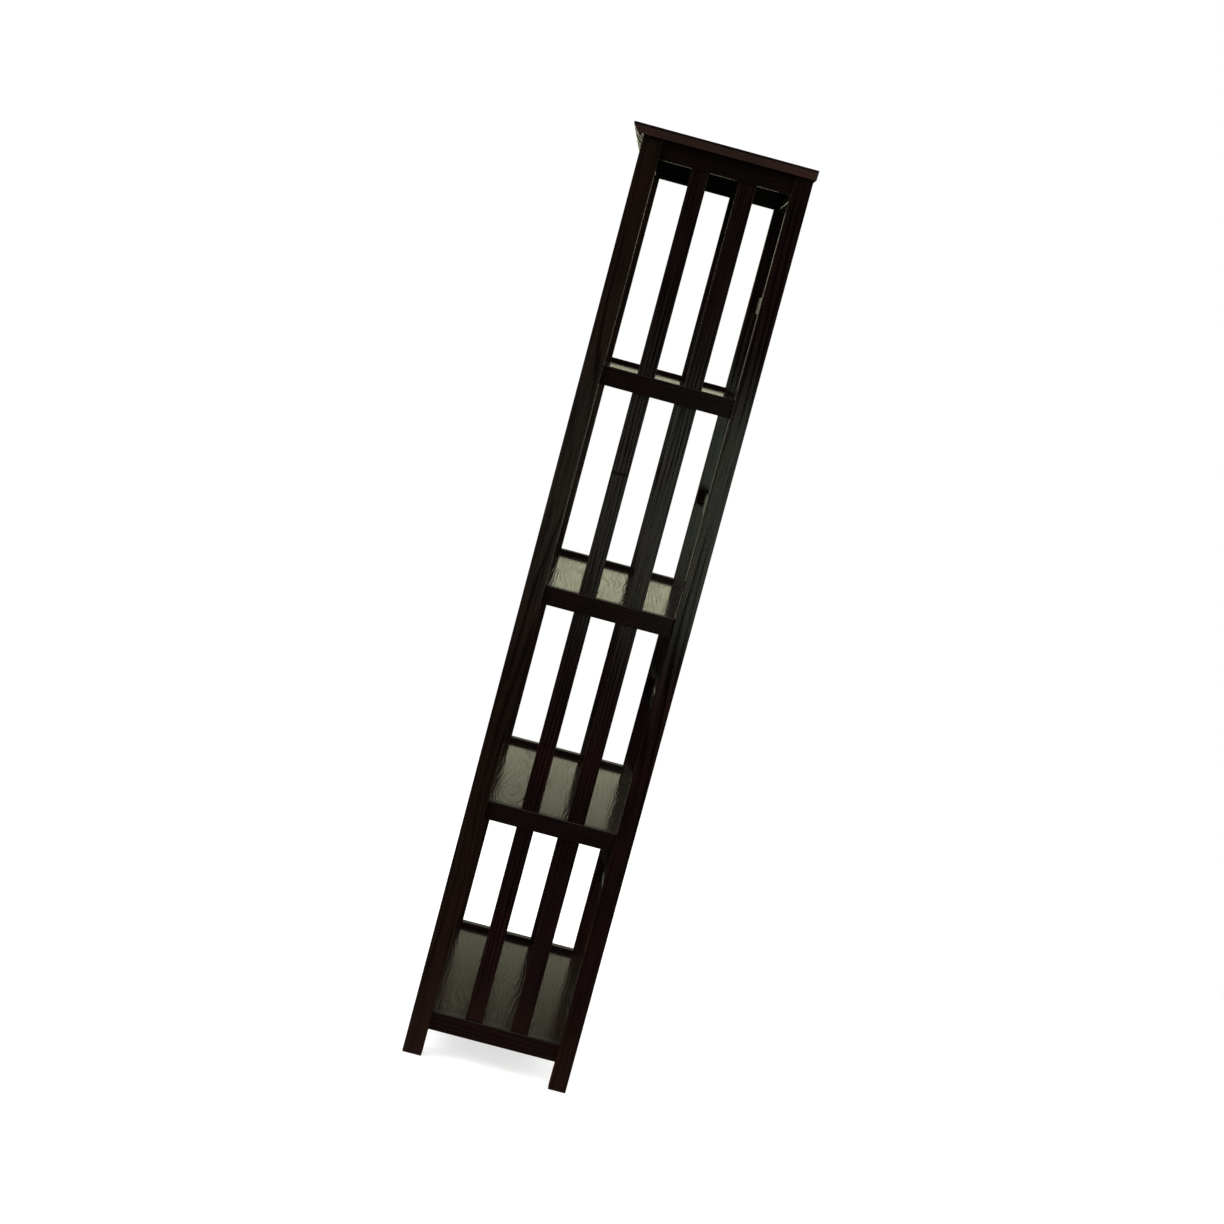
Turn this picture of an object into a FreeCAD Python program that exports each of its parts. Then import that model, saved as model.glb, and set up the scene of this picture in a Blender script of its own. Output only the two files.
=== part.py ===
import FreeCAD, Part
import os

from FreeCAD import Vector

os.makedirs("parts", exist_ok=True)

# An open bookcase with slatted ends. X runs from end to end, the front faces -Y, Z is up from the floor.
# All sizes are in mm.

# Overall size
height = 1829.0
length_over_posts = 718.0
depth_over_posts = 327.0
end_overhang = 22.0
front_overhang = 22.0
back_overhang = 4.0

# Planed board used for the top, the shelves, the aprons and the back rails
board_thickness = 18.0
board_tenon_thickness = 8.0
board_tenon_shoulder = 6.0

# Bevel under the front and the ends of the top
lip_height = 4.0
bevel_run = 11.0

# Corner posts
front_post_width = 38.0
back_post_width = 35.0
post_thickness = 32.0

# End rails: one at the floor end, one at the top and three between, all flush with the posts inside
bays = 4
foot_height = 52.5
rail_height = 36.5
rail_thickness = 22.0
rail_tenon_length = 18.0
rail_tenon_height = 26.0
rail_tenon_thickness = 8.0
rail_tenon_setback = 4.0

# Upright slats, two to a bay
slat_width = 34.0
slat_thickness = 12.0
slat_post_gap = 64.5
slat_tenon_length = 10.0
slat_tenon_width = 28.0
slat_tenon_thickness = 8.0

# Shelves, set down between the end rails at the middle of their height
shelf_front_setback = 6.0
shelf_back_setback = 8.0
shelf_tenon_reach = 75.0
shelf_tenon_width = 60.0
shelf_tenon_length = 12.0

# Rails across the back, flush with the backs of the posts
back_rail_height = 38.0
back_rail_drop = 11.0
back_rail_tenon_length = 16.0

# Aprons under the top, set in from the inner edges of the posts
front_apron_inset = 8.0
back_apron_inset = 9.0
apron_tenon_length = 8.0

# Fits and softened corners
fit = 0.2
end_gap = 0.3
arris = 1.5

# Dowels between the posts and the top
dowel_diameter = 8.0
dowel_length = 30.0
dowel_in_post = 20.0

# Screws up through the aprons into the top
screw_spacing = 220.0
screw_shank_diameter = 4.0
screw_head_diameter = 8.0
screw_head_height = 3.0
screw_counterbore = 12.0
screw_in_top = 12.0

# Limits that follow from the sizes above
post_top = height - board_thickness
outer_x = length_over_posts / 2
inner_x = outer_x - post_thickness
top_half_depth = (depth_over_posts + front_overhang + back_overhang) / 2
post_front = front_overhang - top_half_depth
post_back = post_front + depth_over_posts
rail_front = post_front + front_post_width
rail_back = post_back - back_post_width
rail_middle = (rail_front + rail_back) / 2
rail_outer_x = inner_x + rail_thickness
rail_pitch = (post_top - foot_height - rail_height) / bays
rail_bottoms = [foot_height + level * rail_pitch for level in range(bays + 1)]
back_rail_middle = post_back - board_thickness / 2
apron_bottom = post_top - rail_height
apron_middles = {
    "front": rail_front - front_apron_inset - board_thickness / 2,
    "back": rail_back + back_apron_inset + board_thickness / 2,
}

side_names = {1: "right", -1: "left"}
rail_names = ["bottom", "lower", "middle", "upper", "top"]
along = Vector(1, 0, 0)
across = Vector(0, 1, 0)
up = Vector(0, 0, 1)


def block(x_span, y_span, z_span):
    """A rectangular block between three pairs of limits, given in either order."""
    spans = [sorted(span) for span in (x_span, y_span, z_span)]
    sizes = [high - low for low, high in spans]
    return Part.makeBox(*sizes, Vector(*[low for low, high in spans]))


def around(middle, width):
    """The two limits of a width centred on a middle."""
    return middle - width / 2, middle + width / 2


def grown(span, extra):
    """A pair of limits, each moved outward."""
    return span[0] - extra, span[1] + extra


def eased(shape, direction):
    """The shape with a small chamfer on every edge that runs in one direction."""
    edges = [edge for edge in shape.Edges if abs(edge.tangentAt(edge.FirstParameter).dot(direction)) > 0.99]
    return shape.makeChamfer(arris, edges)


def peg(start, direction, diameter, length):
    """A round peg, or the hole for one, from a start point along a direction."""
    return Part.makeCylinder(diameter / 2, length, start, direction)


def write(name, shape):
    """Writes one named piece, or one group of equal fasteners."""
    shape.exportStep("parts/" + name + ".step")


# Boards that run from end to end. Each has tenons at both ends, and each tenon leaves its mortise in an end.
between_ends = (-inner_x, inner_x)
end_mortises = []


def tenoned(board, tenon_y_spans, tenon_z_span, tenon_length):
    """The board with tenons at both ends, whose mortises are noted for the posts and rails that take them."""
    tenons = []
    for tenon_y_span in tenon_y_spans:
        tenons.append(block(grown(between_ends, tenon_length), tenon_y_span, tenon_z_span))
        mortise_x_span = grown(between_ends, tenon_length + end_gap)
        end_mortises.append(block(mortise_x_span, grown(tenon_y_span, fit), grown(tenon_z_span, fit)))
    return board.fuse(tenons)


shelf_y_span = (post_front + shelf_front_setback, post_back - shelf_back_setback)
shelf_tenon_y_spans = [
    around(rail_middle + half * shelf_tenon_reach, shelf_tenon_width) for half in (-1, 1)
]
back_rail_tenon_y_span = around(back_rail_middle, board_tenon_thickness)
for level in range(bays):
    shelf_z = rail_bottoms[level] + rail_height / 2
    shelf = eased(block(between_ends, shelf_y_span, around(shelf_z, board_thickness)), along)
    shelf_tenon_z_span = around(shelf_z, board_tenon_thickness)
    shelf = tenoned(shelf, shelf_tenon_y_spans, shelf_tenon_z_span, shelf_tenon_length)
    write(rail_names[level] + "_shelf", shelf)

    bay_middle_z = (rail_bottoms[level] + rail_height + rail_bottoms[level + 1]) / 2
    back_rail_z_span = around(bay_middle_z - back_rail_drop, back_rail_height)
    back_rail = block(between_ends, around(back_rail_middle, board_thickness), back_rail_z_span)
    back_rail_tenon_z_span = grown(back_rail_z_span, -board_tenon_shoulder)
    back_rail = tenoned(
        eased(back_rail, along), [back_rail_tenon_y_span], back_rail_tenon_z_span, back_rail_tenon_length
    )
    write("bay" + str(level + 1) + "_back_rail", back_rail)

# Screws that stand in counterbores in the aprons and hold the top down
screw_seat = apron_bottom + screw_counterbore
screw_shank_length = post_top + screw_in_top - screw_seat
top_screws = []
top_screw_holes = []
for apron_y in apron_middles.values():
    for step in (-1, 0, 1):
        seat = Vector(step * screw_spacing, apron_y, screw_seat)
        head = peg(seat - up * screw_head_height, up, screw_head_diameter, screw_head_height)
        shank = peg(seat, up, screw_shank_diameter, screw_shank_length)
        counterbore = peg(
            seat - up * screw_counterbore, up, screw_head_diameter + 2 * fit, screw_counterbore
        )
        shank_hole = peg(seat, up, screw_shank_diameter + 2 * fit, screw_shank_length + end_gap)
        top_screws.append(head.fuse(shank))
        top_screw_holes.append(counterbore.fuse(shank_hole))

# Aprons under the top
apron_z_span = (apron_bottom, post_top)
for place, apron_y in apron_middles.items():
    apron = eased(block(between_ends, around(apron_y, board_thickness), apron_z_span), along)
    apron_tenon_y_span = around(apron_y, board_tenon_thickness)
    apron_tenon_z_span = grown(apron_z_span, -board_tenon_shoulder)
    apron = tenoned(apron, [apron_tenon_y_span], apron_tenon_z_span, apron_tenon_length)
    write(place + "_apron", apron.cut(top_screw_holes))

# Dowels in the tops of the posts, between the rail tenon and the outer face
dowel_places = [
    (post_front + rail_front - rail_tenon_length) / 2,
    (post_back + rail_back + rail_tenon_length) / 2,
]
top_dowels = []
top_dowel_holes = []
for side in side_names:
    for dowel_y in dowel_places:
        start = Vector(side * (inner_x + outer_x) / 2, dowel_y, post_top - dowel_in_post)
        top_dowels.append(peg(start, up, dowel_diameter, dowel_length))
        top_dowel_holes.append(
            peg(start - up * end_gap, up, dowel_diameter + 2 * fit, dowel_length + 2 * end_gap)
        )

# The two slatted ends
slat_starts = [rail_front + slat_post_gap, rail_back - slat_post_gap - slat_width]
slat_middle_x = inner_x + rail_thickness / 2
for side, side_name in side_names.items():
    rail_x_span = (side * inner_x, side * rail_outer_x)
    tenon_outer_x = rail_outer_x - rail_tenon_setback
    tenon_x_span = (side * tenon_outer_x, side * (tenon_outer_x - rail_tenon_thickness))
    tenon_y_span = grown((rail_front, rail_back), rail_tenon_length)

    rail_mortises = []
    for level, rail_name in enumerate(rail_names):
        rail_bottom = rail_bottoms[level]
        rail_z_span = (rail_bottom, rail_bottom + rail_height)
        rail = eased(block(rail_x_span, (rail_front, rail_back), rail_z_span), across)
        tenon_z_span = around(rail_bottom + rail_height / 2, rail_tenon_height)
        tenon = block(tenon_x_span, tenon_y_span, tenon_z_span)
        rail_mortises.append(
            block(grown(sorted(tenon_x_span), fit), grown(tenon_y_span, end_gap), grown(tenon_z_span, fit))
        )
        slat_mortise_depth = slat_tenon_length + end_gap
        slat_mortise_z_spans = []
        if level > 0:
            slat_mortise_z_spans.append((rail_bottom, rail_bottom + slat_mortise_depth))
        if level < bays:
            slat_mortise_z_spans.append((rail_z_span[1] - slat_mortise_depth, rail_z_span[1]))
        slat_mortises = []
        for slat_mortise_z_span in slat_mortise_z_spans:
            for slat_start in slat_starts:
                slat_mortises.append(
                    block(
                        around(side * slat_middle_x, slat_tenon_thickness + 2 * fit),
                        around(slat_start + slat_width / 2, slat_tenon_width + 2 * fit),
                        slat_mortise_z_span,
                    )
                )
        rail = rail.fuse(tenon).cut(slat_mortises + end_mortises)
        write(side_name + "_" + rail_name + "_rail", rail)

    post_y_spans = {"front": (post_front, rail_front), "back": (rail_back, post_back)}
    post_x_span = (side * inner_x, side * outer_x)
    for place, post_y_span in post_y_spans.items():
        post = eased(block(post_x_span, post_y_span, (0, post_top)), up)
        post = post.cut(rail_mortises + end_mortises + top_dowel_holes)
        write(side_name + "_" + place + "_post", post)

    for bay in range(bays):
        slat_z_span = (rail_bottoms[bay] + rail_height, rail_bottoms[bay + 1])
        for place, slat_start in zip(("front", "back"), slat_starts):
            slat_y_span = (slat_start, slat_start + slat_width)
            slat = block(around(side * slat_middle_x, slat_thickness), slat_y_span, slat_z_span)
            tenon = block(
                around(side * slat_middle_x, slat_tenon_thickness),
                around(slat_start + slat_width / 2, slat_tenon_width),
                grown(slat_z_span, slat_tenon_length),
            )
            slat = eased(slat, up).fuse(tenon)
            write(side_name + "_bay" + str(bay + 1) + "_" + place + "_slat", slat)

# The top: a square edge at the back, and a bevel under the front and both ends that mitres at the corners
top_x = outer_x + end_overhang
lip_bottom = height - lip_height
top = block((-top_x, top_x), (-top_half_depth, top_half_depth), (post_top, height))
bevel_outline = [
    Vector(0, 0, post_top),
    Vector(bevel_run, 0, post_top),
    Vector(0, 0, lip_bottom),
]
bevel_face = Part.Face(Part.makePolygon(bevel_outline + bevel_outline[:1]))
end_bevel = bevel_face.extrude(Vector(0, 2 * top_half_depth, 0))
bevels = []
for turn_angle, corner in (
    (0, Vector(-top_x, -top_half_depth, 0)),
    (180, Vector(top_x, top_half_depth, 0)),
):
    bevel = end_bevel.copy()
    bevel.rotate(Vector(0, 0, 0), up, turn_angle)
    bevel.translate(corner)
    bevels.append(bevel)
front_bevel = bevel_face.extrude(Vector(0, 2 * top_x, 0))
front_bevel.rotate(Vector(0, 0, 0), up, 90)
front_bevel.translate(Vector(top_x, -top_half_depth, 0))
bevels.append(front_bevel)
write("top_board", top.cut(bevels + top_dowel_holes + top_screw_holes))

# Groups of equal fasteners, each a separate solid
write("top_dowels", Part.makeCompound(top_dowels))
write("top_screws", Part.makeCompound(top_screws))
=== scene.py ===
import math

import bpy
from mathutils import Matrix, Vector


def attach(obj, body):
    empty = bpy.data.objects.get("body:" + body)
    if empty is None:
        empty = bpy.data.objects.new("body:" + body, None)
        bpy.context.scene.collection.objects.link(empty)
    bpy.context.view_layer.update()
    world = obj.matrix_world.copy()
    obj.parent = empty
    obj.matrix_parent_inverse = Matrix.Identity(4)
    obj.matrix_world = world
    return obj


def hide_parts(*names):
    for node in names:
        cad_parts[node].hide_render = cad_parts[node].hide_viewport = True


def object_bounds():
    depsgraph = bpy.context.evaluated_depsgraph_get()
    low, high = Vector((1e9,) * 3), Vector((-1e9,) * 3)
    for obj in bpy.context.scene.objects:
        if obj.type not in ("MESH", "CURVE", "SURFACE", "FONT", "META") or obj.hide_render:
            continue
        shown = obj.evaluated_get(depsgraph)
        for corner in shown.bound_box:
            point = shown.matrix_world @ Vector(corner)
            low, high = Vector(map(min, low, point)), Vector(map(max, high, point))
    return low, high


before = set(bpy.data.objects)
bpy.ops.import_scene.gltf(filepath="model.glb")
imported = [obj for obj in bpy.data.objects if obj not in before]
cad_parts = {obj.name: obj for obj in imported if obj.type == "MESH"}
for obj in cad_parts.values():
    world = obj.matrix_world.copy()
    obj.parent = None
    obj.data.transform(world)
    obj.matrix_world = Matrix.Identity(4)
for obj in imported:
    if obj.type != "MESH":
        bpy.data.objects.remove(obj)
cad_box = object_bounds()
scene = bpy.context.scene
MM = 0.001


def linear(hex_colour):
    """An sRGB hex colour as linear red, green, blue and alpha."""
    channels = [int(hex_colour[i:i + 2], 16) / 255 for i in (1, 3, 5)]
    return [c / 12.92 if c <= 0.04045 else ((c + 0.055) / 1.055) ** 2.4 for c in channels] + [1.0]


def add(tree, kind, inputs=None, **settings):
    """Adds one node, with its settings, and its inputs as values or as links from other sockets."""
    node = tree.nodes.new(kind)
    for name, value in settings.items():
        setattr(node, name, value)
    for key, value in (inputs or {}).items():
        if isinstance(value, bpy.types.NodeSocket):
            tree.links.new(value, node.inputs[key])
        else:
            node.inputs[key].default_value = value
    return node


def new_material(name):
    """A material with an empty node tree, and that tree."""
    material = bpy.data.materials.new(name)
    material.use_nodes = True
    material.node_tree.nodes.clear()
    return material, material.node_tree


def box_of(node):
    """The lowest and the highest corner of one CAD piece."""
    places = [vertex.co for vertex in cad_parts[node].data.vertices]
    return [Vector([pick(axis) for axis in zip(*places)]) for pick in (min, max)]


# Stained oak: sawn and sanded boards with open pores, a near-black brown stain that gathers in the early wood
# and the pores, and one thin coat of satin lacquer that follows the grain. To the eye it is red-brown in the
# light and almost black in the shade, with dark lines along the grain, loops of figure on wide faces, and a
# grey sheen that the grain spreads sideways and that turns pale at low angles.
WARM_STAIN = [linear(colour) for colour in ("#0e0806", "#190f0b", "#23120d")]
DARK_STAIN = [linear(colour) for colour in ("#070303", "#150a09", "#1f0d0c")]
BLACK_STAIN = [linear(colour) for colour in ("#080404", "#140a08", "#1b0d09")]
# Paler stain: rubbed thin on the arrises, and painted light from below on the bevel under the top
RUBBED_STAIN_AND_PAINTED_UNDERLIGHT = linear("#4b2f28")
HAND_WIDTH = 167.0 * MM
ARRIS_RADIUS = 1.2 * MM
POLISHED_ARRIS = 0.1
LACQUER_IOR = 1.48


def grain_scale(long_mm, wide_mm):
    """The scale that gives a noise marks of this length along the grain and this width across it."""
    return 1 / (long_mm * MM), 1 / (wide_mm * MM), 1 / (wide_mm * MM)


def growth_rings(tree, board, ring_mm, loop_mm, loops):
    """Grooves of early wood: rings bent into long loops by a slow noise, and frayed by a fine one."""
    slant = [0.0, 0.83 / (ring_mm * MM), 0.56 / (ring_mm * MM)]
    across = add(tree, "ShaderNodeVectorMath", {0: board, 1: slant}, operation="DOT_PRODUCT")
    slow = add(tree, "ShaderNodeMapping", {"Vector": board, "Scale": grain_scale(loop_mm, 83.3)})
    bend = add(tree, "ShaderNodeTexNoise", {"Vector": slow.outputs[0], "Scale": 1.0, "Detail": 2.0,
                                            "Roughness": 0.45})
    ragged = add(tree, "ShaderNodeMapping", {"Vector": board, "Scale": grain_scale(143.0, 6.25)})
    fray = add(tree, "ShaderNodeTexNoise", {"Vector": ragged.outputs[0], "Scale": 1.0, "Detail": 2.0})
    bent = add(tree, "ShaderNodeMath", {0: bend.outputs["Fac"], 1: loops, 2: across.outputs["Value"]},
               operation="MULTIPLY_ADD")
    frayed = add(tree, "ShaderNodeMath", {0: fray.outputs["Fac"], 1: 0.4, 2: bent.outputs[0]},
                 operation="MULTIPLY_ADD")
    ring = add(tree, "ShaderNodeMath", {0: frayed.outputs[0], 1: 0.5}, operation="PINGPONG")
    early = add(tree, "ShaderNodeMapRange", {"Value": ring.outputs[0], "From Min": 0.03, "From Max": 0.3,
                                             "To Min": 1.0, "To Max": 0.0}, interpolation_type="SMOOTHSTEP")
    strength = add(tree, "ShaderNodeTexNoise", {"Vector": slow.outputs[0], "Scale": 2.3, "Detail": 1.0})
    marked = add(tree, "ShaderNodeMapRange", {"Value": strength.outputs["Fac"], "From Min": 0.36,
                                              "From Max": 0.64, "To Min": 0.15, "To Max": 1.0})
    groove = add(tree, "ShaderNodeMath", {0: early.outputs[0], 1: marked.outputs[0]}, operation="MULTIPLY")
    return groove.outputs[0]


def open_pores(tree, board):
    """Short pores: under half a millimetre wide on the real wood, drawn 2 mm wide so that they show."""
    drawn_out = add(tree, "ShaderNodeMapping", {"Vector": board, "Scale": grain_scale(111.0, 2.08)})
    specks = add(tree, "ShaderNodeTexNoise", {"Vector": drawn_out.outputs[0], "Scale": 1.0, "Detail": 2.0})
    pore = add(tree, "ShaderNodeMapRange", {"Value": specks.outputs["Fac"], "From Min": 0.5, "From Max": 0.66,
                                            "To Min": 0.0, "To Max": 0.6})
    return pore.outputs[0]


def slat_dark_band(tree, apart, height):
    """One in a dark band, 6 mm wide, across the front slat of the right end, and nought elsewhere."""
    band = add(tree, "ShaderNodeMath", {0: apart.outputs["Z"], 1: height, 2: 3.0 * MM}, operation="COMPARE")
    front = add(tree, "ShaderNodeMath", {0: apart.outputs["Y"], 1: 0.0}, operation="LESS_THAN")
    end = add(tree, "ShaderNodeMath", {0: apart.outputs["X"], 1: 0.0}, operation="GREATER_THAN")
    side = add(tree, "ShaderNodeMath", {0: front.outputs[0], 1: end.outputs[0]}, operation="MULTIPLY")
    dark_band = add(tree, "ShaderNodeMath", {0: band.outputs[0], 1: side.outputs[0]}, operation="MULTIPLY")
    return dark_band.outputs[0]


def top_bevel(tree, apart, limits):
    """One beyond an X at either end or a Y at the front, if it is below a Z as well, and nought elsewhere."""
    along = add(tree, "ShaderNodeMath", {0: apart.outputs["X"]}, operation="ABSOLUTE")
    end = add(tree, "ShaderNodeMath", {0: along.outputs[0], 1: limits[0]}, operation="GREATER_THAN")
    front = add(tree, "ShaderNodeMath", {0: apart.outputs["Y"], 1: limits[1]}, operation="LESS_THAN")
    rim = add(tree, "ShaderNodeMath", {0: end.outputs[0], 1: front.outputs[0]}, operation="MAXIMUM")
    below = add(tree, "ShaderNodeMath", {0: apart.outputs["Z"], 1: limits[2]}, operation="LESS_THAN")
    bevel = add(tree, "ShaderNodeMath", {0: rim.outputs[0], 1: below.outputs[0]}, operation="MULTIPLY")
    return bevel.outputs[0]


def stained_oak(name, grain, place, stain, ring_mm, loop_mm, loops, lacquer, pores, relief_mm, spread,
                shine=0.4, painted_lit_bevel=None, band_height=None):
    """Oak whose grain runs along one axis of the object, with its stain and its lacquer.

    place is where in the plank a piece was cut, so that pieces differ. loop_mm is the length of a loop of
    figure, and loops is how many rings it bends. lacquer and pores are the roughness of the coat over late
    wood and over open grain, which is the smoother of the two where lacquer has pooled in it. relief_mm is
    the depth of the grain, spread is how far it draws the sheen sideways, and shine is how strong the sheen
    is. The last two arguments hold the limits of a bevel that is painted paler, as painted light from below,
    and the height of a dark band across a slat.
    """
    material, tree = new_material(name)
    where = add(tree, "ShaderNodeTexCoord").outputs["Object"]
    apart = add(tree, "ShaderNodeSeparateXYZ", {0: where})
    order = {"X": "XYZ", "Y": "YZX", "Z": "ZXY"}[grain]
    board = add(tree, "ShaderNodeCombineXYZ", {i: apart.outputs[axis] for i, axis in enumerate(order)})
    board = add(tree, "ShaderNodeMapping", {"Vector": board.outputs[0], "Location": place}).outputs[0]

    groove = growth_rings(tree, board, ring_mm, loop_mm, loops)
    pore = open_pores(tree, board)
    hollow = add(tree, "ShaderNodeMath", {0: groove, 1: pore}, use_clamp=True)
    gloss = add(tree, "ShaderNodeMapRange", {"Value": hollow.outputs[0], "To Min": lacquer, "To Max": pores})
    # A dark, rougher band across one slat
    if band_height:
        dark_band = slat_dark_band(tree, apart, band_height)
        hollow = add(tree, "ShaderNodeMath", {0: hollow.outputs[0], 1: dark_band}, operation="MAXIMUM")
        gloss = add(tree, "ShaderNodeMath", {0: dark_band, 1: 0.6, 2: gloss.outputs[0]},
                    operation="MULTIPLY_ADD", use_clamp=True)

    # Stain: darkest in the early wood and the pores, redder in patches a hand wide
    patch = add(tree, "ShaderNodeTexNoise", {"Vector": board, "Scale": 1 / HAND_WIDTH, "Detail": 3.0,
                                             "Roughness": 0.55})
    redder = add(tree, "ShaderNodeMapRange", {"Value": patch.outputs["Fac"], "From Min": 0.4,
                                              "From Max": 0.7})
    late = add(tree, "ShaderNodeMix", {"Factor": redder.outputs[0], "A": stain[1], "B": stain[2]},
               data_type="RGBA")
    colour = add(tree, "ShaderNodeMix", {"Factor": hollow.outputs[0], "A": late.outputs["Result"],
                                         "B": stain[0]}, data_type="RGBA")

    # Arrises: rounded by sanding and polished by hands, with the stain rubbed thin. The same paler stain on
    # the bevel under the top is painted light from below.
    soft = add(tree, "ShaderNodeBevel", {"Radius": ARRIS_RADIUS}, samples=6)
    flat = add(tree, "ShaderNodeNewGeometry")
    facing = add(tree, "ShaderNodeVectorMath", {0: soft.outputs[0], 1: flat.outputs["Normal"]},
                 operation="DOT_PRODUCT")
    edge = add(tree, "ShaderNodeMapRange", {"Value": facing.outputs["Value"], "From Min": 0.98,
                                            "From Max": 0.85, "To Max": 0.6})
    gloss = add(tree, "ShaderNodeMix", {"Factor": edge.outputs[0], "A": gloss.outputs[0],
                                        "B": POLISHED_ARRIS})
    # Painted light from below: the bevel under the top takes the paler stain
    if painted_lit_bevel:
        bevel = top_bevel(tree, apart, painted_lit_bevel)
        edge = add(tree, "ShaderNodeMath", {0: edge.outputs[0], 1: bevel}, operation="MAXIMUM")
    patchy = add(tree, "ShaderNodeMapRange", {"Value": patch.outputs["Fac"], "From Min": 0.3, "From Max": 0.7,
                                            "To Min": 0.55, "To Max": 0.95})
    worn_and_lit = add(tree, "ShaderNodeMath", {0: edge.outputs[0], 1: patchy.outputs[0]}, operation="MULTIPLY")
    colour = add(tree, "ShaderNodeMix", {"Factor": worn_and_lit.outputs[0], "A": colour.outputs["Result"],
                                         "B": RUBBED_STAIN_AND_PAINTED_UNDERLIGHT}, data_type="RGBA")

    # Coat: sunk in the grain, with its sheen drawn out across it
    sunk = add(tree, "ShaderNodeMath", {0: pore, 1: 0.3, 2: groove}, operation="MULTIPLY_ADD")
    relief = add(tree, "ShaderNodeBump", {"Strength": 0.7, "Distance": relief_mm * MM,
                                          "Height": sunk.outputs[0], "Normal": soft.outputs[0]}, invert=True)
    sideways = add(tree, "ShaderNodeTangent", direction_type="RADIAL", axis=grain)
    coat = add(tree, "ShaderNodeBsdfPrincipled", {
        "Base Color": colour.outputs["Result"], "Roughness": gloss.outputs["Result"], "IOR": LACQUER_IOR,
        "Specular IOR Level": shine, "Anisotropic": spread, "Normal": relief.outputs[0],
        "Tangent": sideways.outputs[0]})
    add(tree, "ShaderNodeOutputMaterial", {"Surface": coat.outputs[0]})
    return material


def fluted_beech():
    """Beech dowels: pale, dry and unfinished, with short flecks along the grain."""
    material, tree = new_material("fluted_beech")
    where = add(tree, "ShaderNodeTexCoord").outputs["Object"]
    fleck_width, fleck_length = 1.1 * MM, 4.5 * MM
    drawn_out = add(tree, "ShaderNodeMapping", {
        "Vector": where, "Scale": (1 / fleck_width, 1 / fleck_width, 1 / fleck_length)})
    flecks = add(tree, "ShaderNodeTexNoise", {"Vector": drawn_out.outputs[0], "Scale": 1.0, "Detail": 2.0})
    colour = add(tree, "ShaderNodeMix", {"Factor": flecks.outputs["Fac"], "A": linear("#b58a5a"),
                                         "B": linear("#d8b383")}, data_type="RGBA")
    relief = add(tree, "ShaderNodeBump", {"Strength": 0.3, "Distance": 0.1 * MM,
                                          "Height": flecks.outputs["Fac"]})
    wood = add(tree, "ShaderNodeBsdfPrincipled", {"Base Color": colour.outputs["Result"], "Roughness": 0.7,
                                                  "IOR": 1.48, "Normal": relief.outputs[0]})
    add(tree, "ShaderNodeOutputMaterial", {"Surface": wood.outputs[0]})
    return material


def plated_zinc():
    """Bright zinc on steel screws: a cool grey metal with a fine grit that scatters the light."""
    material, tree = new_material("zinc_plated_steel")
    where = add(tree, "ShaderNodeTexCoord").outputs["Object"]
    grit_width = 1.2 * MM
    grit = add(tree, "ShaderNodeTexNoise", {"Vector": where, "Scale": 1 / grit_width, "Detail": 3.0})
    colour = add(tree, "ShaderNodeMix", {"Factor": grit.outputs["Fac"], "A": linear("#8f9396"),
                                         "B": linear("#c2c5c8")}, data_type="RGBA")
    gloss = add(tree, "ShaderNodeMapRange", {"Value": grit.outputs["Fac"], "To Min": 0.22, "To Max": 0.42})
    relief = add(tree, "ShaderNodeBump", {"Strength": 0.2, "Distance": 0.05 * MM,
                                          "Height": grit.outputs["Fac"]})
    metal = add(tree, "ShaderNodeBsdfPrincipled", {
        "Base Color": colour.outputs["Result"], "Metallic": 1.0, "Roughness": gloss.outputs[0],
        "Normal": relief.outputs[0]})
    add(tree, "ShaderNodeOutputMaterial", {"Surface": metal.outputs[0]})
    return material


# The bevel under the top, with painted light from below, measured in from the top's edges, and the dark band
# on a slat, up from the floor
BEVEL_REACH = 11.5 * MM
LIP_HEIGHT = 4.5 * MM
SLAT_BAND_HEIGHT = 1190.0 * MM
lowest, highest = cad_box
bevel_limits = (highest[0] - BEVEL_REACH, lowest[1] + BEVEL_REACH, highest[2] - LIP_HEIGHT)

front_post_oak = stained_oak(
    "stained_oak_front_posts", "Z", (0.31, 0.17, 0.53), WARM_STAIN, ring_mm=9.0, loop_mm=770.0, loops=9.0,
    lacquer=0.28, pores=0.14, relief_mm=0.07, spread=0.82)
back_post_oak = stained_oak(
    "stained_oak_back_posts", "Z", (0.83, 0.47, 0.19), DARK_STAIN, ring_mm=6.0, loop_mm=770.0, loops=6.0,
    lacquer=0.27, pores=0.13, relief_mm=0.07, spread=0.82)
slat_oak = stained_oak(
    "stained_oak_slats", "Z", (1.83, 0.71, 0.29), DARK_STAIN, ring_mm=4.2, loop_mm=770.0, loops=4.0,
    lacquer=0.32, pores=0.12, relief_mm=0.12, spread=0.82, band_height=SLAT_BAND_HEIGHT)
rail_oak = stained_oak(
    "stained_oak_rails", "Y", (2.41, 0.37, 0.83), BLACK_STAIN, ring_mm=8.0, loop_mm=770.0, loops=6.0,
    lacquer=0.25, pores=0.3, relief_mm=0.05, spread=0.3, shine=0.22)
shelf_oak = stained_oak(
    "stained_oak_shelves", "X", (3.07, 1.13, 0.61), WARM_STAIN, ring_mm=8.0, loop_mm=450.0, loops=12.0,
    lacquer=0.14, pores=0.21, relief_mm=0.15, spread=0.0)
brace_oak = stained_oak(
    "stained_oak_braces", "X", (4.59, 0.91, 1.37), DARK_STAIN, ring_mm=9.0, loop_mm=770.0, loops=8.0,
    lacquer=0.22, pores=0.3, relief_mm=0.05, spread=0.6)
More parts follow.
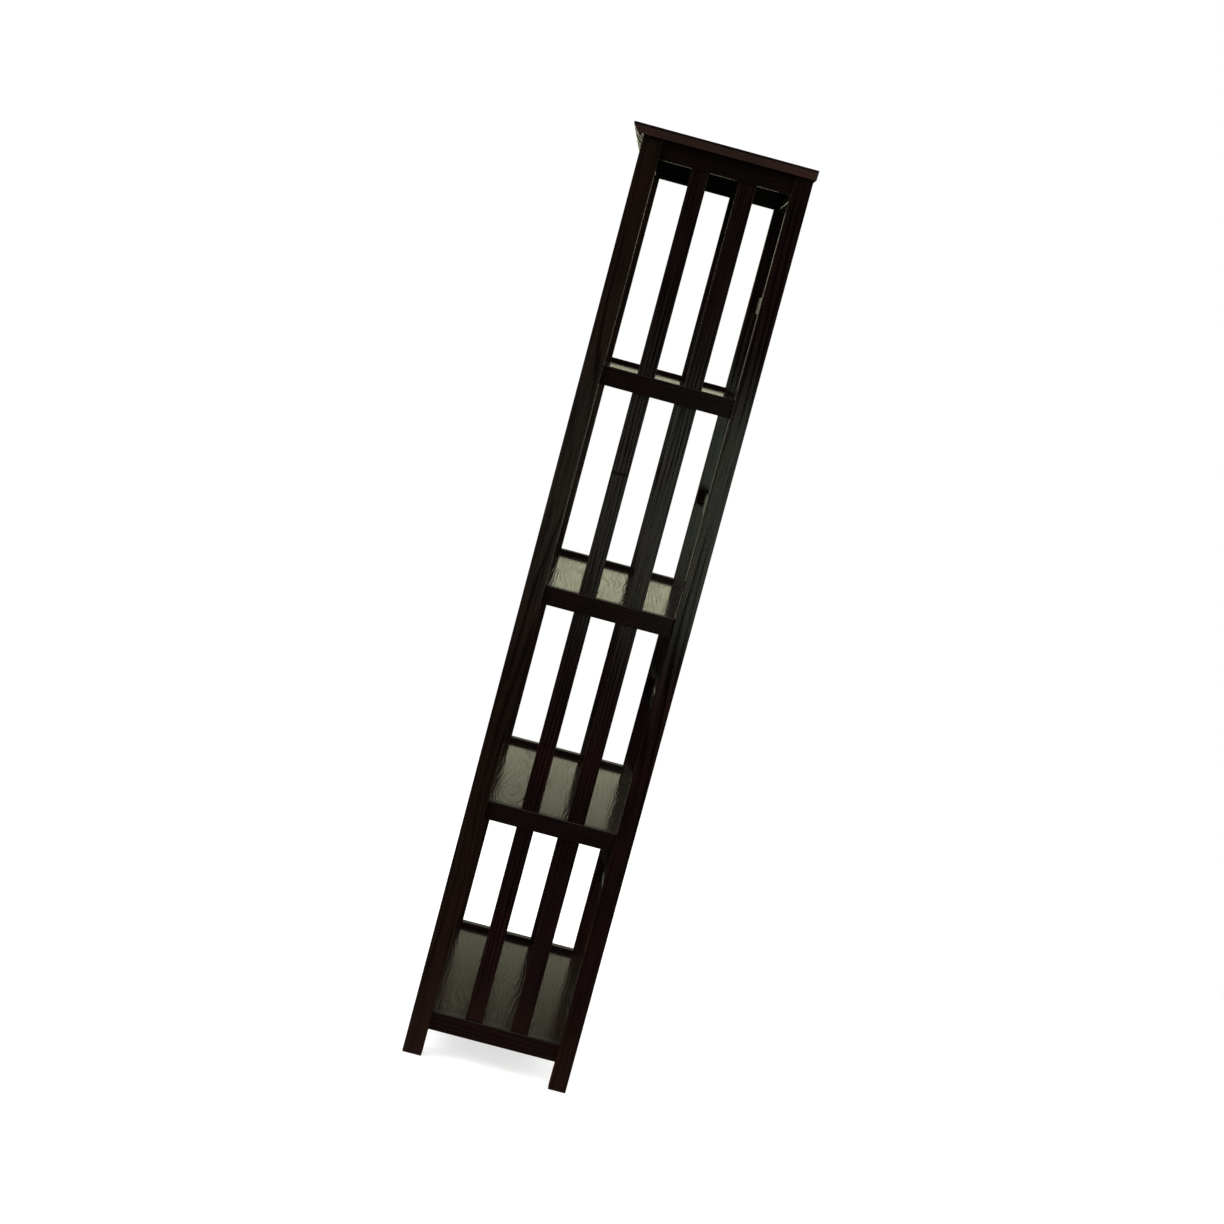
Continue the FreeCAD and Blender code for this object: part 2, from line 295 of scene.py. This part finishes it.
# The top's bevel has painted light from below
top_oak = stained_oak(
    "stained_oak_top", "X", (5.23, 1.49, 0.77), DARK_STAIN, ring_mm=8.0, loop_mm=520.0, loops=12.0,
    lacquer=0.18, pores=0.85, relief_mm=0.1, spread=0.0, painted_lit_bevel=bevel_limits)
beech = fluted_beech()
zinc_plate = plated_zinc()


def finish_for(node):
    """The finish of one CAD piece, by its name."""
    if node == "top_board":
        return top_oak
    for ending, finish in (("_dowels", beech), ("_screws", zinc_plate), ("_front_post", front_post_oak),
                           ("_back_post", back_post_oak), ("_slat", slat_oak), ("_shelf", shelf_oak),
                           ("_apron", brace_oak), ("_back_rail", brace_oak), ("_rail", rail_oak)):
        if node.endswith(ending):
            return finish


for node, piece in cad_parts.items():
    finish = finish_for(node)
    if not piece.material_slots:
        piece.data.materials.append(finish)
    for slot in piece.material_slots:
        slot.material = finish


def wood_screw_tree():
    """Geometry Nodes: a row of threaded wood screws with a cross recess along each apron, heads down."""
    tree = bpy.data.node_groups.new("wood_screws", "GeometryNodeTree")
    for name in ("Head Diameter", "Head Height", "Shank Diameter", "Core Diameter", "Shank Length",
                 "Point Length", "Thread Pitch", "Screw Spacing", "Row Spacing"):
        tree.interface.new_socket(name, in_out="INPUT", socket_type="NodeSocketFloat")
    tree.interface.new_socket("Screws In Row", in_out="INPUT", socket_type="NodeSocketInt")
    tree.interface.new_socket("Between Rows", in_out="INPUT", socket_type="NodeSocketVector")
    tree.interface.new_socket("Finish", in_out="INPUT", socket_type="NodeSocketMaterial")
    tree.interface.new_socket("Screws", in_out="OUTPUT", socket_type="NodeSocketGeometry")
    size = {socket.name: socket for socket in add(tree, "NodeGroupInput").outputs}

    # Sizes that follow from the named ones, each from two sizes or from a size and a number
    for name, first, operation, second in (
            ("Head Radius", "Head Diameter", "MULTIPLY", 0.5),
            ("Face Radius", "Head Radius", "MULTIPLY", 0.72),
            ("Slot Width", "Head Radius", "MULTIPLY", 0.22),
            ("Disc Height", "Head Height", "MULTIPLY", 0.5),
            ("Under Head", "Head Height", "MULTIPLY", 0.75),
            ("Core Radius", "Core Diameter", "MULTIPLY", 0.5),
            ("Half Shank", "Shank Length", "MULTIPLY", 0.5),
            ("Core Middle", "Under Head", "ADD", "Half Shank"),
            ("Point Overlap", "Shank Length", "MULTIPLY", 0.98),
            ("Point Base", "Under Head", "ADD", "Point Overlap"),
            ("Shank Radius", "Shank Diameter", "MULTIPLY", 0.5),
            ("Thread Depth", "Shank Radius", "SUBTRACT", "Core Radius"),
            ("Ridge Middle", "Thread Depth", "MULTIPLY", 0.4),
            ("Ridge Radius", "Thread Depth", "MULTIPLY", 0.6),
            ("Thread Radius", "Core Radius", "ADD", "Ridge Middle"),
            ("Turns", "Shank Length", "DIVIDE", "Thread Pitch"),
            ("Gaps In Row", "Screws In Row", "SUBTRACT", 1.0),
            ("Row Length", "Screw Spacing", "MULTIPLY", "Gaps In Row")):
        worked_out = add(tree, "ShaderNodeMath", {0: size[first], 1: size.get(second, second)},
                         operation=operation)
        size[name] = worked_out.outputs[0]

    # Body: a short cone and a disc for the head, then a plain core that ends in a point, all in one piece
    crown = add(tree, "GeometryNodeMeshCone", {
        "Vertices": 32, "Radius Top": size["Head Radius"], "Radius Bottom": size["Face Radius"],
        "Depth": size["Disc Height"]})
    disc = add(tree, "GeometryNodeMeshCylinder", {
        "Vertices": 32, "Radius": size["Head Radius"], "Depth": size["Disc Height"]})
    core = add(tree, "GeometryNodeMeshCylinder", {
        "Vertices": 16, "Radius": size["Core Radius"], "Depth": size["Shank Length"]})
    point = add(tree, "GeometryNodeMeshCone", {
        "Vertices": 16, "Radius Bottom": size["Core Radius"], "Depth": size["Point Length"]})
    body = add(tree, "GeometryNodeMeshBoolean", operation="UNION", solver="EXACT")
    for shape, height in ((crown, 0.0), (disc, size["Disc Height"]), (core, size["Core Middle"]),
                          (point, size["Point Base"])):
        lift = add(tree, "ShaderNodeCombineXYZ", {"Z": height})
        lifted = add(tree, "GeometryNodeTransform", {"Geometry": shape.outputs["Mesh"],
                                                     "Translation": lift.outputs[0]})
        tree.links.new(lifted.outputs[0], body.inputs["Mesh 2"])

    # Recess: two crossed slots sunk in the head
    slot = add(tree, "ShaderNodeCombineXYZ", {"X": size["Head Radius"], "Y": size["Slot Width"],
                                              "Z": size["Head Height"]})
    bar = add(tree, "GeometryNodeMeshCube", {"Size": slot.outputs[0]})
    turned = add(tree, "GeometryNodeTransform", {"Geometry": bar.outputs["Mesh"],
                                                 "Rotation": (0.0, 0.0, math.pi / 2)})
    recessed = add(tree, "GeometryNodeMeshBoolean", {"Mesh 1": body.outputs["Mesh"]}, operation="DIFFERENCE",
                   solver="EXACT")
    for mesh in (bar.outputs["Mesh"], turned.outputs[0]):
        tree.links.new(mesh, recessed.inputs["Mesh 2"])

    # Thread: one ridge wound round the core
    wound = add(tree, "GeometryNodeCurveSpiral", {
        "Resolution": 20, "Rotations": size["Turns"], "Start Radius": size["Thread Radius"],
        "End Radius": size["Thread Radius"], "Height": size["Shank Length"]})
    ridge = add(tree, "GeometryNodeCurvePrimitiveCircle", {"Resolution": 4, "Radius": size["Ridge Radius"]},
                mode="RADIUS")
    thread = add(tree, "GeometryNodeCurveToMesh", {
        "Curve": wound.outputs["Curve"], "Profile Curve": ridge.outputs["Curve"], "Fill Caps": True})
    lift = add(tree, "ShaderNodeCombineXYZ", {"Z": size["Under Head"]})
    lifted = add(tree, "GeometryNodeTransform", {"Geometry": thread.outputs["Mesh"],
                                                 "Translation": lift.outputs[0]})
    screw = add(tree, "GeometryNodeJoinGeometry")
    for mesh in (recessed.outputs["Mesh"], lifted.outputs[0]):
        tree.links.new(mesh, screw.inputs[0])

    # Rows: one along each apron, every screw stopped at its own turn
    grid = add(tree, "GeometryNodeMeshGrid", {
        "Size X": size["Row Length"], "Size Y": size["Row Spacing"], "Vertices X": size["Screws In Row"],
        "Vertices Y": 2})
    placed = add(tree, "GeometryNodeTransform", {"Geometry": grid.outputs["Mesh"],
                                                 "Translation": size["Between Rows"]})
    turn = add(tree, "FunctionNodeRandomValue", {"Min": 0.0, "Max": 2 * math.pi, "Seed": 7},
               data_type="FLOAT")
    turn = add(tree, "FunctionNodeAxisAngleToRotation", {"Axis": (0.0, 0.0, 1.0), "Angle": turn.outputs[1]})
    spread = add(tree, "GeometryNodeInstanceOnPoints", {
        "Points": placed.outputs[0], "Instance": screw.outputs[0], "Rotation": turn.outputs[0]})
    real = add(tree, "GeometryNodeRealizeInstances", {0: spread.outputs[0]})
    plated = add(tree, "GeometryNodeSetMaterial", {"Geometry": real.outputs[0], "Material": size["Finish"]})
    add(tree, "NodeGroupOutput", {0: plated.outputs[0]})
    return tree


def made_by(tree, name, sizes):
    """The plain mesh that a Geometry Nodes tree makes with the given sizes."""
    maker = bpy.data.objects.new(name, bpy.data.meshes.new(name))
    scene.collection.objects.link(maker)
    modifier = maker.modifiers.new("nodes", "NODES")
    modifier.node_group = tree
    sockets = {item.name: item.identifier for item in tree.interface.items_tree if item.in_out == "INPUT"}
    for size, value in sizes.items():
        modifier[sockets[size]] = value
    made = maker.evaluated_get(bpy.context.evaluated_depsgraph_get())
    maker_mesh = bpy.data.meshes.new_from_object(made)
    maker.modifiers.remove(modifier)
    maker.data = maker_mesh
    return maker


# Screws that hold the top, up through the middles of the aprons. Their heads bear on the floors of the
# counterbores, and their threads lie within the drilled holes.
COUNTERBORE = 12.0 * MM
HEAD_TO_SEAT = 2.25 * MM
front_low, front_high = box_of("front_apron")
back_low, back_high = box_of("back_apron")
front_row = (front_low.y + front_high.y) / 2
back_row = (back_low.y + back_high.y) / 2
between_rows = (0.0, (front_row + back_row) / 2, front_low.z + COUNTERBORE - HEAD_TO_SEAT)
screws = made_by(wood_screw_tree(), "apron_screws", {
    "Head Diameter": 8.0 * MM, "Head Height": 3.0 * MM, "Shank Diameter": 4.0 * MM,
    "Core Diameter": 2.8 * MM, "Shank Length": 32.0 * MM, "Point Length": 4.0 * MM,
    "Thread Pitch": 2.0 * MM, "Screw Spacing": 220.0 * MM, "Row Spacing": back_row - front_row,
    "Screws In Row": 3, "Between Rows": between_rows, "Finish": zinc_plate})
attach(screws, "root")
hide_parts("top_screws")

# Camera: just under eye level, square to the right end, turned as the photograph is
eye = Vector((4.835, -0.0337, 1.5183))
yaw, pitch, roll = (math.radians(angle) for angle in (1.551, 6.525, 15.129))
look = Vector((-math.cos(pitch) * math.cos(yaw), math.cos(pitch) * math.sin(yaw), -math.sin(pitch)))
level_right = look.cross(Vector((0, 0, 1))).normalized()
level_up = level_right.cross(look)
right = level_right * math.cos(roll) + level_up * math.sin(roll)
upward = level_up * math.cos(roll) - level_right * math.sin(roll)
camera_data = bpy.data.cameras.new("camera")
camera_data.sensor_width = 36.0
camera_data.lens = 70.08
camera_data.shift_x = -0.037
camera_data.shift_y = -0.022
camera_data.clip_end = 200.0
camera = bpy.data.objects.new("camera", camera_data)
scene.collection.objects.link(camera)
camera.matrix_world = Matrix.Translation(eye) @ Matrix((right, upward, -look)).transposed().to_4x4()
scene.camera = camera

# Studio: everything from here on is around the object, and not part of it
WHITE = (1.0, 1.0, 1.0, 1.0)
DIM_GREY = (0.015, 0.015, 0.013, 1.0)
CREAM_PAPER = (1.0, 1.0, 0.69, 1.0)
GREEN_DAYLIGHT = (0.9, 1.0, 0.85, 1.0)
BROWN_CARPET = (0.27, 0.12, 0.09, 1.0)


def staged(name, corners, faces, material):
    """A plain sheet of the studio, which isn't part of the object."""
    mesh = bpy.data.meshes.new(name)
    mesh.from_pydata(corners, [], faces)
    mesh.materials.append(material)
    sheet = bpy.data.objects.new(name, mesh)
    scene.collection.objects.link(sheet)
    return sheet


def seen_directly(tree):
    """One where the camera, a mirror or glass looks straight at the surface, and nought for its light."""
    path = add(tree, "ShaderNodeLightPath").outputs
    seen = add(tree, "ShaderNodeMath", {0: path["Is Camera Ray"], 1: path["Is Glossy Ray"]},
               operation="MAXIMUM")
    return add(tree, "ShaderNodeMath", {0: seen.outputs[0], 1: path["Is Transmission Ray"]},
               operation="MAXIMUM").outputs[0]


def floor_paint():
    """Pale and matt near the bookcase, with its soft shadow, and plain white to the camera farther off."""
    material, tree = new_material("studio_floor")
    seen = seen_directly(tree)
    where = add(tree, "ShaderNodeTexCoord").outputs["Object"]
    reach = add(tree, "ShaderNodeVectorMath", {0: where}, operation="LENGTH")
    near_glow = add(tree, "ShaderNodeMath", {0: seen, 1: 0.68}, operation="MULTIPLY")
    matt = add(tree, "ShaderNodeBsdfDiffuse", {"Color": linear("#d8d8d6")})
    glow = add(tree, "ShaderNodeEmission", {"Color": WHITE, "Strength": near_glow.outputs[0]})
    near = add(tree, "ShaderNodeAddShader", {0: matt.outputs[0], 1: glow.outputs[0]})
    white = add(tree, "ShaderNodeEmission", {"Color": WHITE, "Strength": seen})
    far = add(tree, "ShaderNodeMapRange", {"Value": reach.outputs["Value"], "From Min": 0.9, "From Max": 3.0},
              interpolation_type="SMOOTHSTEP")
    surface = add(tree, "ShaderNodeMixShader", {0: far.outputs[0], 1: near.outputs[0], 2: white.outputs[0]})
    add(tree, "ShaderNodeOutputMaterial", {"Surface": surface.outputs[0]})
    return material


def wall_paint():
    """Dim walls, with pale paper beyond the left end, low windows front and back, and light high up."""
    material, tree = new_material("studio_walls")
    where = add(tree, "ShaderNodeTexCoord").outputs["Object"]
    apart = add(tree, "ShaderNodeSeparateXYZ", {0: where})

    # Paper: brightest at the far left, from eye level up to where it fades out
    beyond = add(tree, "ShaderNodeMapRange", {"Value": apart.outputs["X"], "From Min": 3.0, "From Max": -8.6})
    rise = add(tree, "ShaderNodeMapRange", {"Value": apart.outputs["Z"], "From Min": 1.55, "From Max": 1.95,
                                            "To Min": 0.3, "To Max": 1.0})
    fade = add(tree, "ShaderNodeMapRange", {"Value": apart.outputs["Z"], "From Min": 1.62, "From Max": 2.84,
                                            "To Min": 1.32, "To Max": 0.0})
    sheet = add(tree, "ShaderNodeMath", {0: rise.outputs[0], 1: fade.outputs[0]}, operation="MULTIPLY")
    paper = add(tree, "ShaderNodeMath", {0: beyond.outputs[0], 1: sheet.outputs[0]}, operation="MULTIPLY")
    shade = add(tree, "ShaderNodeMix", {"Factor": paper.outputs[0], "A": DIM_GREY, "B": CREAM_PAPER},
                data_type="RGBA")
    low = add(tree, "ShaderNodeEmission", {"Color": shade.outputs["Result"], "Strength": 1.0})

    # Light high up, except behind the camera
    aside = add(tree, "ShaderNodeMapRange", {"Value": apart.outputs["X"], "From Min": 8.0, "From Max": 6.0})
    high = add(tree, "ShaderNodeMapRange", {"Value": apart.outputs["Z"], "From Min": 3.5, "From Max": 5.0,
                                            "To Min": 0.0, "To Max": 0.45})
    above = add(tree, "ShaderNodeMath", {0: aside.outputs[0], 1: high.outputs[0]}, operation="MULTIPLY")
    upper = add(tree, "ShaderNodeEmission", {"Color": WHITE, "Strength": above.outputs[0]})

    # Windows, brightest below the height of a table
    sideways = add(tree, "ShaderNodeMath", {0: apart.outputs["Y"]}, operation="ABSOLUTE")
    facing = add(tree, "ShaderNodeMapRange", {"Value": sideways.outputs[0], "From Min": 7.0,
                                              "From Max": 8.6})
    panes = add(tree, "ShaderNodeMapRange", {"Value": apart.outputs["Z"], "From Min": 1.5, "From Max": 1.0,
                                             "To Min": 0.1, "To Max": 0.8})
    daylight = add(tree, "ShaderNodeMath", {0: facing.outputs[0], 1: panes.outputs[0]}, operation="MULTIPLY")
    windows = add(tree, "ShaderNodeEmission", {"Color": GREEN_DAYLIGHT, "Strength": daylight.outputs[0]})

    glow = add(tree, "ShaderNodeAddShader", {0: low.outputs[0], 1: upper.outputs[0]})
    glow = add(tree, "ShaderNodeAddShader", {0: glow.outputs[0], 1: windows.outputs[0]})
    add(tree, "ShaderNodeOutputMaterial", {"Surface": glow.outputs[0]})
    return material


def carpet_paint():
    """A brown carpet under the bookcase, dim farther off."""
    material, tree = new_material("studio_carpet")
    where = add(tree, "ShaderNodeTexCoord").outputs["Object"]
    reach = add(tree, "ShaderNodeVectorMath", {0: where}, operation="LENGTH")
    away = add(tree, "ShaderNodeMapRange", {"Value": reach.outputs["Value"], "From Min": 0.55,
                                            "From Max": 0.95})
    shade = add(tree, "ShaderNodeMix", {"Factor": away.outputs[0], "A": BROWN_CARPET, "B": DIM_GREY},
                data_type="RGBA")
    glow = add(tree, "ShaderNodeEmission", {"Color": shade.outputs["Result"], "Strength": 1.0})
    add(tree, "ShaderNodeOutputMaterial", {"Surface": glow.outputs[0]})
    return material


span = 30.0
staged("floor", [(-span, -span, 0), (span, -span, 0), (span, span, 0), (-span, span, 0)], [(0, 1, 2, 3)],
       floor_paint())

# Round wall and carpet, just above the floor, which only the lacquer mirrors
sides = 48
wall_radius = 9.0
wall_foot, wall_head = 2 * MM, 9.0
corners = [(wall_radius * math.cos(turn), wall_radius * math.sin(turn))
           for turn in (2 * math.pi * step / sides for step in range(sides))]
foot_ring, head_ring = ([(x, y, z) for x, y in corners] for z in (wall_foot, wall_head))
wall_faces = [(step, (step + 1) % sides, sides + (step + 1) % sides, sides + step) for step in range(sides)]
for sheet in (staged("studio_walls", foot_ring + head_ring, wall_faces, wall_paint()),
              staged("studio_carpet", foot_ring, [tuple(range(sides))], carpet_paint())):
    sheet.visible_camera = False
    sheet.visible_diffuse = False
    sheet.visible_transmission = False
    sheet.visible_shadow = False

# Soft studio light
world = bpy.data.worlds.new("studio")
scene.world = world
world.use_nodes = True
tree = world.node_tree
tree.nodes.clear()
level = add(tree, "ShaderNodeMapRange", {"Value": seen_directly(tree), "To Min": 0.6, "To Max": 1.0})
sky = add(tree, "ShaderNodeBackground", {"Color": WHITE, "Strength": level.outputs[0]})
add(tree, "ShaderNodeOutputWorld", {"Surface": sky.outputs[0]})


def softbox(name, place, target, width, height, watts, colour=WHITE[:3], mirrored=False):
    """A soft rectangular lamp that points at a target, and shows in the lacquer only if it is mirrored."""
    data = bpy.data.lights.new(name, "AREA")
    data.shape = "RECTANGLE"
    data.size = width
    data.size_y = height
    data.energy = watts
    data.color = colour
    lamp = bpy.data.objects.new(name, data)
    scene.collection.objects.link(lamp)
    lamp.location = place
    lamp.rotation_euler = (Vector(target) - Vector(place)).to_track_quat("-Z", "Y").to_euler()
    lamp.visible_camera = False
    lamp.visible_glossy = mirrored


softbox("key_softbox", (2.8, -3.4, 3.4), (0, 0, 1.0), width=2.0, height=2.0, watts=110)
softbox("fill_softbox", (-3.2, -2.6, 2.6), (0, 0, 0.9), width=2.0, height=2.0, watts=60)
softbox("back_softbox", (-2.4, 3.6, 3.0), (0, 0, 1.0), width=2.0, height=2.0, watts=60)
softbox("window_panel", (1.8, 0.62, 1.01), (0.35, 0.1, 1.0), width=0.4, height=0.62, watts=3.6,
        colour=(0.82, 1.0, 0.78), mirrored=True)

scene.view_settings.view_transform = "Standard"
